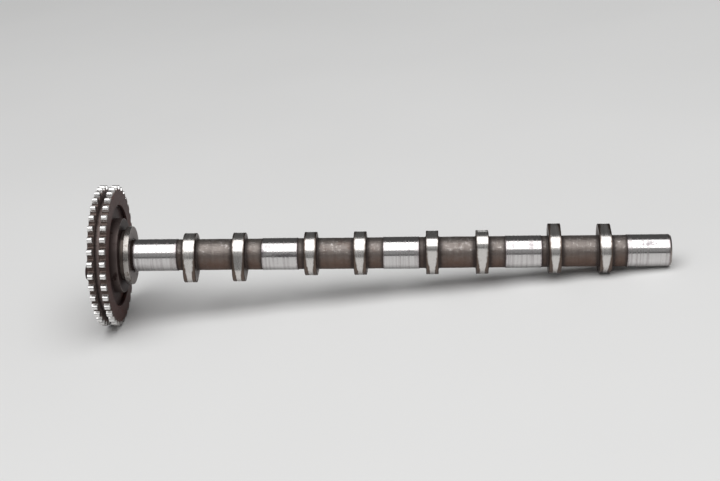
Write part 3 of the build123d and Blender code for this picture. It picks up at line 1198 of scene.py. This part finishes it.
@dataclass
class DuplexSprocket:
    """The wheel with two rows of teeth, a web and a hub. Sizes in mm."""

    frame: ShaftFrame
    tooth_count: int = 36
    chain_pitch: float = 9.525
    bush_diameter: float = 5.08
    seat_share: float = 0.505
    row_places: Range = (-23.55, -13.8)
    tooth_width: float = 4.9
    tip_radius: float = 56.9
    tip_relief_height: float = 3.2
    tip_relief_power: float = 2.3
    crown_start: float = 1.45
    crown_blend: float = 0.45
    side_rounding: float = 0.2
    seat_direction_deg: float = 270.0
    groove_floor_radius: float = 47.5
    groove_corner: float = 0.8
    recess_radius: float = 40.8
    recess_depth: float = 3.0
    hub_radius: float = 30.0
    hub_rear_x: float = -7.5
    hub_edge_break: float = 0.6
    edge_break: float = 0.25
    mouth_chamfer: float = 0.3
    pocket_radius: float = 24.0
    pocket_depth: float = 3.0
    counterbore_radius: float = 20.3
    counterbore_floor_x: float = -15.5
    bore_radius: float = 8.02

    def __post_init__(self) -> None:
        """Starts the skin."""
        self.loft = Loft(self.outline(0.0)[0])

    def half_gap(self, inset: float) -> np.ndarray:
        """Half of one gap and half of its tooth, from the bush seat's middle to the tooth's.

        The seat is a hollow arc and the tooth's tip is a full round that runs into it.

        Args:
            inset: How far the outline is moved into the metal, square to itself.

        Returns:
            Points with the seat's middle on the first axis, one row each.
        """
        half_step = math.pi / self.tooth_count
        pitch_radius = self.chain_pitch / (2.0 * math.sin(half_step))
        seat = self.seat_share * self.bush_diameter
        reach = self.tip_radius + seat
        tip_place = (reach**2 - pitch_radius**2) / (2.0 * (reach - pitch_radius * math.cos(half_step)))
        seat_middle = np.array([pitch_radius, 0.0])
        tip_middle = tip_place * np.array([math.cos(half_step), math.sin(half_step)])
        away = math.atan2(*(tip_middle - seat_middle)[::-1])
        arcs = [
            (seat_middle, seat + inset, math.pi, away, 4),
            (tip_middle, self.tip_radius - tip_place - inset, away - math.pi, half_step, 8),
        ]
        points = []
        for centre, radius, begin, finish, steps in arcs:
            for step in range(1 if points else 0, steps + 1):
                turn = begin + (finish - begin) * step / steps
                points.append(centre + radius * np.array([math.cos(turn), math.sin(turn)]))
        return np.array(points)

    def outline(self, inset: float) -> tuple[np.ndarray, np.ndarray]:
        """The toothed outline all round the wheel.

        Args:
            inset: How far it is moved into the metal.

        Returns:
            The directions in radians and the radii.
        """
        half = self.half_gap(inset)
        turn, radius = np.arctan2(half[:, 1], half[:, 0]), np.hypot(half[:, 0], half[:, 1])
        turns = np.concatenate([turn, FULL_TURN / self.tooth_count - turn[-2:0:-1]])
        radii = np.concatenate([radius, radius[-2:0:-1]])
        starts = math.radians(self.seat_direction_deg)
        starts = starts + FULL_TURN * np.arange(self.tooth_count) / self.tooth_count
        return (starts[:, None] + turns[None, :]).ravel(), np.tile(radii, self.tooth_count)

    def add_row(self, row_x: float) -> None:
        """One row of teeth with rounded tips, from its front side to its rear side.

        Args:
            row_x: The row's middle.
        """
        half, rounding, blend = self.tooth_width / 2.0, self.side_rounding, self.crown_blend
        edge = [1.15, 0.9, 0.7, 0.52, 0.36, 0.24, 0.18, 0.11, 0.05, 0.015, 0.0]
        reaches = [0.7] + [half - gap for gap in edge]
        for u in [-u for u in reversed(reaches)] + [0.0] + reaches:
            over = min(rounding, max(0.0, abs(u) - (half - rounding)))
            turns, radii = self.outline(rounding - math.sqrt(rounding**2 - over**2))
            share = max(0.0, (abs(u) - self.crown_start) / (half - self.crown_start))
            relief = (self.tip_relief_height + blend) * share**self.tip_relief_power
            cap = self.tip_radius + blend - relief
            mix = np.clip(0.5 + 0.5 * (cap - radii) / blend, 0.0, 1.0)
            radii = cap + (radii - cap) * mix - blend * mix * (1.0 - mix)
            wear = min(1.0, max(0.0, (half - abs(u)) * 2.5))
            self.loft.ring(row_x + u, radii, WheelZone.TEETH, turns, wear=wear)

    def add_wall(self, x: float, foot: float, rising: bool, zone: WheelZone) -> None:
        """The flat side of a tooth row, between its teeth and a circle.

        Args:
            x: Where the side is.
            foot: The circle's radius.
            rising: True if the rings run outwards.
            zone: Its zone.
        """
        turns, radii = self.outline(self.side_rounding)
        radii = np.minimum(radii, self.tip_radius - self.tip_relief_height)
        # The foot of the wall is darkened: grime and painted shade in the corner.
        rings = [(np.full_like(turns, foot), 0.4), (np.full_like(turns, foot + 3.0), 0.0), (radii - 0.1, 0.0)]
        for radius, dirt in rings if rising else reversed(rings):
            self.loft.ring(x, radius, zone, turns, grime=dirt)

    def add_side(self, rim_x: float, inward: int, hub_x: float) -> None:
        """The side between the hub's wall and the rim: hub edge, recess and rim edge.

        Args:
            rim_x: The rim's side face.
            inward: 1 at the front, where the rings run outwards, otherwise -1.
            hub_x: The hub's end face.
        """
        floor_x, hub, face = rim_x + inward * self.recess_depth, WheelZone.HUB, WheelZone.FACE
        # The last number of each step darkens the recess: grime and painted shade.
        steps = [(hub, hub_x + inward * behind, self.hub_radius - below, 0.0)
                 for behind, below in eased(self.hub_edge_break, 4)]
        steps += [
            (hub, floor_x - inward * 0.5, self.hub_radius, 0.7),
            (hub, floor_x, self.hub_radius + 0.5, 1.0),
            (face, floor_x, self.hub_radius + 2.5, 0.7),
            (face, floor_x, self.recess_radius - 2.0, 0.7),
            (face, floor_x, self.recess_radius - 0.4, 1.0),
            (face, floor_x - inward * 0.4, self.recess_radius, 1.0),
        ]
        steps += [(face, rim_x + inward * behind, self.recess_radius + below, 0.0)
                  for behind, below in reversed(eased(self.edge_break, 3))]
        if inward < 0:
            zones = [step[0] for step in steps[1:]] + [face]
            steps = [(zone, *step[1:]) for zone, step in zip(zones, steps)][::-1]
        for zone, *step in steps:
            self.loft.run(zone, step)

    def add_groove(self, start: float, end: float) -> None:
        """The groove between the rows, with its two rounded corners.

        Args:
            start: Its front side.
            end: Its rear side.
        """
        bend, floor = eased(self.groove_corner, 3), self.groove_floor_radius
        # The groove's corners are darkened: grime and painted shade.
        self.loft.run(WheelZone.GROOVE, *((start + behind, floor + below, 1.0) for behind, below in bend),
                      *((start + (end - start) * share, floor, 0.0) for share in (0.4, 0.6)),
                      *((end - behind, floor + below, 1.0) for behind, below in reversed(bend)))

    def finishes(self, shop: Shop) -> list[Material]:
        """Builds the finish of every zone.

        Args:
            shop: The shared effects.

        Returns:
            The materials, in the order of the zones.
        """
        finishes = {
            WheelZone.FACE: OiledSteel("wheel_steel", dark=(0.075, 0.038, 0.034, 1.0),
                                       brown=(0.125, 0.050, 0.041, 1.0), shine=0.1, gloss=0.05),
            WheelZone.TEETH: ToothSteel("tooth_steel"),
            WheelZone.GROOVE: OiledSteel("groove_steel", dark=(0.21, 0.165, 0.155, 1.0),
                                         brown=(0.16, 0.120, 0.108, 1.0), roughness=0.50, shine=0.45),
            WheelZone.HUB: TurnedSteel("hub_steel", steel=(0.125, 0.100, 0.094, 1.0),
                                       oil=(0.026, 0.013, 0.012, 1.0), roughness=0.40, metal=0.5, gloss=0.12),
        }
        return [finishes[zone].material(shop) for zone in WheelZone]

    def build(self, shop: Shop) -> None:
        """Lofts the wheel.

        Args:
            shop: The shared effects.
        """
        half, hub, groove = self.tooth_width / 2.0, WheelZone.HUB, WheelZone.GROOVE
        front_x, rear_x = self.row_places[0] - half, self.row_places[1] + half
        start, end = self.row_places[0] + half, self.row_places[1] - half
        pocket_x, hub_x, floor_x = front_x + self.pocket_depth, self.hub_rear_x, self.counterbore_floor_x
        hub_land = self.hub_radius - self.hub_edge_break - 0.1
        rim_foot = self.recess_radius + self.edge_break + 0.1
        groove_foot = self.groove_floor_radius + self.groove_corner
        pocket, counterbore, chamfer = self.pocket_radius, self.counterbore_radius, self.mouth_chamfer
        # The last number of each ring darkens the hub's pockets: grime and painted shade.
        self.loft.run(hub, (pocket_x, self.bore_radius, 0.0), (pocket_x, pocket, 1.0),
                      (front_x + chamfer, pocket, 0.0), (front_x, pocket + chamfer, 0.0),
                      (front_x, hub_land, 0.0))
        self.add_side(front_x, 1, front_x)
        self.add_wall(front_x, rim_foot, True, WheelZone.FACE)
        self.add_row(self.row_places[0])
        self.add_wall(start, groove_foot, False, groove)
        self.add_groove(start, end)
        self.add_wall(end, groove_foot, True, groove)
        self.add_row(self.row_places[1])
        self.add_wall(rear_x, rim_foot, False, WheelZone.FACE)
        self.add_side(rear_x, -1, hub_x)
        self.loft.run(hub, (hub_x, hub_land, 1.0), (hub_x, counterbore + chamfer, 1.0),
                      (hub_x - chamfer, counterbore, 0.0), (floor_x, counterbore, 1.0),
                      (floor_x, self.bore_radius, 1.0))
        mesh = self.loft.mesh("duplex_wheel", self.frame, False)
        place_piece(mesh, self.finishes(shop), "timing_sprocket")


# --- studio


@dataclass
class Studio:
    """Pale floor, one broad soft lamp overhead and a surround that is darker low and behind."""

    floor_half: float = 6.0
    low_grey: float = 0.07
    front_grey: float = 0.34
    back_grey: float = 0.10
    side_range: Range = (-0.35, 0.35)
    rise_range: Range = (0.0, 0.30)
    backdrop: Colour = (0.60, 0.60, 0.60, 1.0)
    lamp_elevation_deg: float = 71.0
    lamp_distance: float = 3.4
    lamp_spread_deg: float = 62.0
    lamp_length: float = 5.0
    lamp_radiance: float = 2.15

    def add_floor(self, paint: Material) -> None:
        """The floor that the part lies on.

        Args:
            paint: Its material.
        """
        mesh = bpy.data.meshes.new("floor")
        far = self.floor_half
        corners = [(-far, -far, 0.0), (far, -far, 0.0), (far, far, 0.0), (-far, far, 0.0)]
        mesh.from_pydata(corners, [], [(0, 1, 2, 3)])
        mesh.materials.append(paint)
        floor = bpy.data.objects.new("floor", mesh)
        bpy.context.scene.collection.objects.link(floor)

    def add_lamp(self) -> None:
        """The soft lamp, in front of the part and above it."""
        lift = math.radians(self.lamp_elevation_deg)
        toward = Vector((0.0, -math.cos(lift), math.sin(lift)))
        width = 2.0 * self.lamp_distance * math.tan(math.radians(self.lamp_spread_deg / 2))
        lamp = bpy.data.lights.new("soft_lamp", "AREA")
        lamp.shape = "RECTANGLE"
        lamp.size, lamp.size_y = self.lamp_length, width
        lamp.energy = self.lamp_radiance * math.pi * self.lamp_length * width
        holder = bpy.data.objects.new("soft_lamp", lamp)
        holder.location = toward * self.lamp_distance
        holder.rotation_euler = toward.to_track_quat("Z", "Y").to_euler()
        bpy.context.scene.collection.objects.link(holder)

    def add_surround(self) -> None:
        """The room: grey in front, darker behind, darkest along the floor's edge."""
        world = bpy.data.worlds.new("surround")
        world.use_nodes = True
        wiring = Wiring(world.node_tree)
        way = wiring.parts(wiring.add("ShaderNodeTexCoord").outputs["Generated"])
        side = wiring.span(way["Y"], *self.side_range, self.front_grey, self.back_grey)
        rise = wiring.span(way["Z"], *self.rise_range)
        grey = wiring.scaled(rise, wiring.number("SUBTRACT", side, self.low_grey), self.low_grey)
        room = wiring.add("ShaderNodeCombineColor", grey, grey, grey).outputs[0]
        seen = wiring.add("ShaderNodeLightPath").outputs["Is Camera Ray"]
        background = world.node_tree.nodes["Background"].inputs["Color"]
        wiring.feed(background, wiring.blend(seen, room, self.backdrop))
        bpy.context.scene.world = world

    def build(self, paint: Material) -> None:
        """Sets the studio up.

        Args:
            paint: The floor's material.
        """
        self.add_floor(paint)
        self.add_lamp()
        self.add_surround()
        bpy.context.scene.view_settings.view_transform = "Standard"


@dataclass
class Camera:
    """The camera, placed by the shaft: its foot is where it looks square at the axis."""

    frame: ShaftFrame
    focal_share: float = 1487.7 / 720.0
    sensor_mm: float = 36.0
    clip_range: Range = (0.01, 50.0)
    foot_x: float = 244.96
    distance: float = 1192.0
    elevation_deg: float = 22.5
    yaw_deg: float = 2.967
    pitch_deg: float = 0.484
    roll_deg: float = -0.553

    def build(self) -> None:
        """Adds the camera and makes it the scene's."""
        frame, lift = self.frame, math.radians(self.elevation_deg)
        toward = math.sin(lift) * frame.up - math.cos(lift) * frame.across
        axes = Matrix((frame.along, toward.cross(frame.along), toward)).transposed()
        for angle, axis in ((self.yaw_deg, "Y"), (self.pitch_deg, "X"), (self.roll_deg, "Z")):
            axes = axes @ Matrix.Rotation(math.radians(angle), 3, axis)
        place = frame.origin + (frame.along * self.foot_x + toward * self.distance) * MM
        data = bpy.data.cameras.new("camera")
        data.sensor_width = self.sensor_mm
        data.lens = self.focal_share * self.sensor_mm
        data.clip_start, data.clip_end = self.clip_range
        camera = bpy.data.objects.new("camera", data)
        camera.matrix_world = Matrix.Translation(place) @ axes.to_4x4()
        bpy.context.scene.collection.objects.link(camera)
        bpy.context.scene.camera = camera


# --- putting it together


def main() -> None:
    """Builds every sub-assembly in order."""
    logging.basicConfig(level=logging.INFO, format="%(name)s: %(message)s")
    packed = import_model()
    frame = ShaftFrame.from_record(packed["record"])
    shop = shared_effects(frame)
    CastShaft(frame).build(shop)
    DuplexSprocket(frame).build(shop)
    dressed = {
        "trigger_pin": OiledSteel("pin_steel", roughness=0.34),
        "sprocket_bolts": OiledSteel("bolt_steel", dark=(0.16, 0.15, 0.145, 1.0),
                                     brown=(0.12, 0.095, 0.08, 1.0)),
        "locating_dowel": GroundSteel("dowel_steel", roughness=0.2),
    }
    for name, finish in dressed.items():
        material = finish.material(shop)
        for slot in packed["nodes"][name].material_slots:
            slot.material = material
        LOG.info("%s: finish %s", name, material.name)
    Studio().build(StudioPaint("floor_paint").material(shop))
    Camera(frame).build()


if __name__ == "__main__":
    main()
